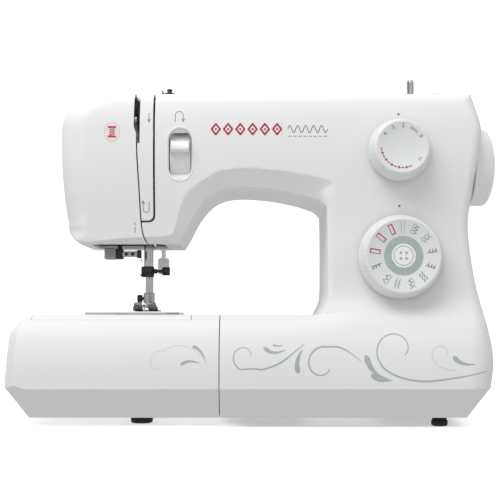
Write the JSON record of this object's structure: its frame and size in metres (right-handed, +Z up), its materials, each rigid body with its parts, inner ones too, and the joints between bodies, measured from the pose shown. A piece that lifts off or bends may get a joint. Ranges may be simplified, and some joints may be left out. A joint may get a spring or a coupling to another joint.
{
  "type": "sewing machine",
  "caption": "Free-arm domestic sewing machine with flat-bed extension table, two front dials, hand wheel, folding handle and a full needle, hook and feed drive.",
  "frame": {"origin": "on the table, under the middle of the machine's box", "axes": "+X to the user's right towards the hand wheel, -Y towards the user, +Z up"},
  "size_m": [0.402, 0.15, 0.287],
  "materials": {
    "white_shell": "smooth gloss",
    "grey_shell": "fine texture",
    "rubber": "matte",
    "cast_metal": "as cast",
    "steel": "brushed",
    "chrome": "polished",
    "dark_plastic": "satin",
    "black_plastic": "gloss",
    "grey_plastic": "satin",
    "dial_plastic": "smooth gloss",
    "clear_plastic": "clear"
  },
  "bodies": {
    "machine": {"front_cover": "white_shell", "rear_cover": "white_shell", "thread_panel": "white_shell", "top_cover": "white_shell", "free_arm_cover": "white_shell", "base_plate": "grey_shell", "rubber_feet": "rubber", "main_frame": "cast_metal", "control_plate": "steel", "tension_bracket": "steel", "cover_screws": "steel", "handle_pins": "steel", "spool_pin": "white_shell", "thread_guide": "chrome", "winder_stop": "white_shell", "power_socket": "dark_plastic", "shaft_bushes": "steel", "timing_belt": "rubber", "motor_belt": "rubber", "motor": "cast_metal", "bobbin_case": "dark_plastic", "needle_plate": "chrome"},
    "extension_table": {"extension_table": "white_shell"},
    "storage_lid": {"storage_lid": "white_shell"},
    "face_cover": {"face_cover": "white_shell", "thread_cutter": "black_plastic"},
    "handle": {"handle": "white_shell"},
    "spool_cap": {"spool_cap": "white_shell"},
    "winder_carrier": {"winder_arm": "steel"},
    "winder_spindle": {"winder_spindle": "chrome"},
    "drive_shaft": {"main_shaft": "chrome", "hand_wheel": "dial_plastic", "crank_disc": "steel", "timing_pulley": "dark_plastic", "drive_pulley": "dark_plastic"},
    "lower_drive": {"lower_shaft": "chrome", "lower_pulley": "dark_plastic", "hook_gear": "dark_plastic"},
    "hook": {"hook": "chrome"},
    "motor_rotor": {"motor_rotor": "chrome"},
    "needle_cradle": {"needle_cradle": "steel"},
    "needle_bar": {"needle_bar": "chrome", "needle_clamp": "chrome", "needle": "chrome"},
    "take_up": {"take_up_lever": "steel"},
    "presser": {"presser_bar": "chrome", "presser_ankle": "chrome"},
    "presser_foot": {"presser_foot": "chrome"},
    "lifter": {"presser_lifter": "white_shell"},
    "threader": {"needle_threader": "grey_plastic"},
    "feed_bar": {"feed_bar": "steel"},
    "feed_dog": {"feed_dog": "steel"},
    "bobbin_cover": {"bobbin_cover": "clear_plastic"},
    "bobbin": {"bobbin": "clear_plastic"},
    "power_switch": {"power_switch": "black_plastic"},
    "stitch_dial": {"stitch_dial": "dial_plastic", "stitch_cam": "grey_plastic"},
    "pattern_dial": {"pattern_dial": "dial_plastic", "pattern_cams": "grey_plastic"},
    "tension_dial": {"tension_dial": "dial_plastic"}
  },
  "joints": [
    {"name": "table_slide", "type": "slide", "parent": "machine", "child": "extension_table", "axis": [-1, 0, 0], "range_m": [0, 0.19]},
    {"name": "lid_hinge", "type": "hinge", "parent": "extension_table", "child": "storage_lid", "pos_m": [-0.115, -0.042, 0.088], "axis": [-1, 0, 0], "range_deg": [0, 85]},
    {"name": "face_cover_slide", "type": "slide", "parent": "machine", "child": "face_cover", "axis": [-1, 0, 0], "range_m": [0, 0.09]},
    {"name": "handle_fold", "type": "hinge", "parent": "machine", "child": "handle", "pos_m": [0.002, 0.016, 0.275], "axis": [1, 0, 0], "range_deg": [0, 90]},
    {"name": "spool_cap_slide", "type": "slide", "parent": "machine", "child": "spool_cap", "axis": [1, 0, 0], "range_m": [-0.008, 0.034]},
    {"name": "winder_shift", "type": "slide", "parent": "machine", "child": "winder_carrier", "axis": [1, 0, 0], "range_m": [0, 0.006]},
    {"name": "winder_spin", "type": "hinge", "parent": "winder_carrier", "child": "winder_spindle", "pos_m": [0.1305, -0.008, 0.27], "axis": [0, 0, 1], "continuous": true},
    {"name": "wheel_spin", "type": "hinge", "parent": "machine", "child": "drive_shaft", "pos_m": [0.1, 0.005, 0.2135], "axis": [1, 0, 0], "continuous": true},
    {"name": "lower_spin", "type": "hinge", "parent": "machine", "child": "lower_drive", "pos_m": [0, 0.005, 0.045], "axis": [1, 0, 0], "continuous": true},
    {"name": "hook_spin", "type": "hinge", "parent": "machine", "child": "hook", "pos_m": [-0.0925, -0.014, 0.07], "axis": [0, 0, 1], "continuous": true},
    {"name": "rotor_spin", "type": "hinge", "parent": "machine", "child": "motor_rotor", "pos_m": [0.13, 0.002, 0.04], "axis": [1, 0, 0], "continuous": true},
    {"name": "needle_swing", "type": "hinge", "parent": "machine", "child": "needle_cradle", "pos_m": [-0.0925, 0.008, 0.256], "axis": [0, 1, 0], "range_deg": [-0.88, 0.88]},
    {"name": "needle_stroke", "type": "slide", "parent": "needle_cradle", "child": "needle_bar", "axis": [0, 0, 1], "range_m": [-0.021, 0]},
    {"name": "take_up_swing", "type": "hinge", "parent": "machine", "child": "take_up", "pos_m": [-0.0988, 0, 0.228], "axis": [1, 0, 0], "range_deg": [-26, 6]},
    {"name": "lifter_turn", "type": "hinge", "parent": "machine", "child": "lifter", "pos_m": [-0.0837, 0.04, 0.168], "axis": [0, -1, 0], "range_deg": [0, 65]},
    {"name": "presser_slide", "type": "slide", "parent": "machine", "child": "presser", "axis": [0, 0, 1], "range_m": [0, 0.006]},
    {"name": "foot_pivot", "type": "hinge", "parent": "presser", "child": "presser_foot", "pos_m": [-0.0925, 0.0155, 0.0952], "axis": [1, 0, 0], "range_deg": [-5, 1]},
    {"name": "threader_slide", "type": "slide", "parent": "machine", "child": "threader", "axis": [0, 0, 1], "range_m": [-0.028, 0], "stiffness_N_per_m": 20, "springref_m": 0.03},
    {"name": "feed_travel", "type": "slide", "parent": "machine", "child": "feed_bar", "axis": [0, 1, 0], "range_m": [-0.0019, 0.0019]},
    {"name": "feed_lift", "type": "slide", "parent": "feed_bar", "child": "feed_dog", "axis": [0, 0, 1], "range_m": [-0.001, 0.0012]},
    {"name": "bobbin_cover_slide", "type": "slide", "parent": "machine", "child": "bobbin_cover", "axis": [0, -1, 0], "range_m": [0, 0.04]},
    {"name": "bobbin_spin", "type": "hinge", "parent": "machine", "child": "bobbin", "pos_m": [-0.0925, -0.014, 0.073], "axis": [0, 0, 1], "continuous": true},
    {"name": "switch_rock", "type": "hinge", "parent": "machine", "child": "power_switch", "pos_m": [0.1915, 0.0215, 0.049], "axis": [0, -1, 0], "range_deg": [0, 12]},
    {"name": "stitch_dial_turn", "type": "hinge", "parent": "machine", "child": "stitch_dial", "pos_m": [0.1145, -0.05, 0.22], "axis": [0, 1, 0], "range_deg": [-120, 120]},
    {"name": "pattern_dial_turn", "type": "hinge", "parent": "machine", "child": "pattern_dial", "pos_m": [0.1145, -0.05, 0.134], "axis": [0, 1, 0], "continuous": true},
    {"name": "tension_turn", "type": "hinge", "parent": "machine", "child": "tension_dial", "pos_m": [-0.062, -0.0235, 0.2175], "axis": [-1, 0, 0], "range_deg": [-30, 15]}
  ],
  "couplings": [
    {"joint": "lower_spin", "follows": "wheel_spin", "ratio": 1},
    {"joint": "hook_spin", "follows": "wheel_spin", "ratio": -2},
    {"joint": "rotor_spin", "follows": "wheel_spin", "ratio": 3.74},
    {"joint": "lifter_turn", "follows": "presser_slide", "rad_per_m": 189}
  ]
}
